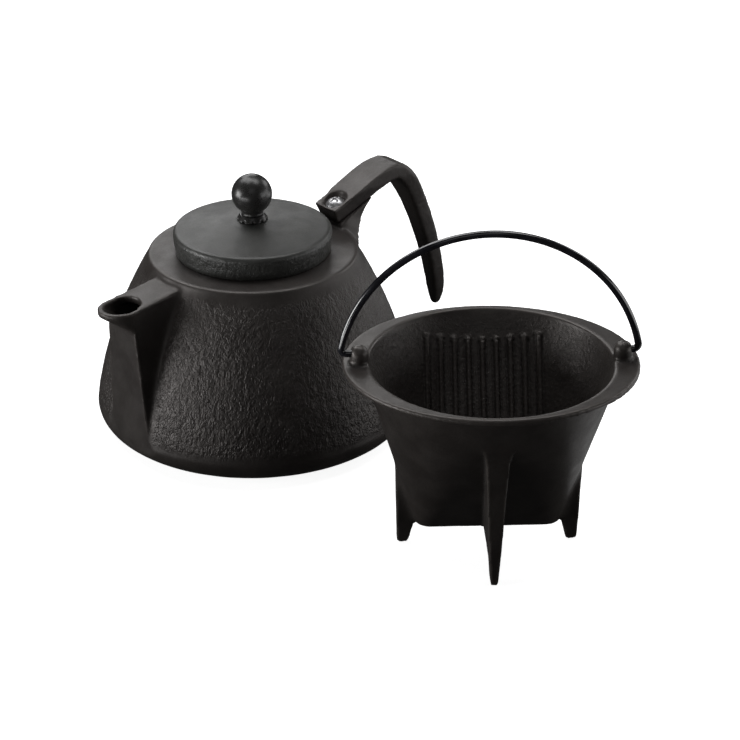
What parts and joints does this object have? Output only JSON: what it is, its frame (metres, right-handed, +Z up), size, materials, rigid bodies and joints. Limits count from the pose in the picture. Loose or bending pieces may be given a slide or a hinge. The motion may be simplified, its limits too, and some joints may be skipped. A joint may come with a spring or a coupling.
{
  "type": "cast iron teapot with drip cone",
  "caption": "Low conical cast iron teapot with an angular spout, one-sided open handle and ball-knob lid, with a finned drip cone on a hinged wire bail beside it.",
  "frame": {"origin": "on the floor at the centre of the pot's round flat base", "axes": "+Z up, spout towards -X, handle towards +X, drip cone beside the pot towards -Y"},
  "size_m": [0.2173, 0.31, 0.1553],
  "materials": {
    "cast_iron": "matte black baked finish over a leathery sand-cast skin",
    "knob_iron": "smoother dark cast iron with a soft sheen",
    "bright_steel": "bright plated steel",
    "black_wire": "gloss black lacquered wire"
  },
  "bodies": {
    "pot": {"pot_body": "cast_iron", "handle": "cast_iron", "handle_screw": "bright_steel"},
    "lid": {"lid": "cast_iron", "knob": "knob_iron", "knob_washer": "knob_iron", "lid_screw": "bright_steel", "lid_screw_washer": "bright_steel"},
    "dripper": {"dripper_cone": "cast_iron"},
    "bail": {"dripper_bail": "black_wire"}
  },
  "joints": [
    {"name": "lid_lift", "type": "slide", "parent": "pot", "child": "lid", "axis": [0, 0, 1], "range_m": [0, 0.08]},
    {"name": "dripper_lift", "type": "slide", "parent": "pot", "child": "dripper", "axis": [0, 0, 1], "range_m": [0, 0.15]},
    {"name": "bail_swing", "type": "hinge", "parent": "dripper", "child": "bail", "pos_m": [0.0037, -0.1681, 0.097], "axis": [0.7848, -0.6198, 0], "range_deg": [-90, 90]}
  ]
}
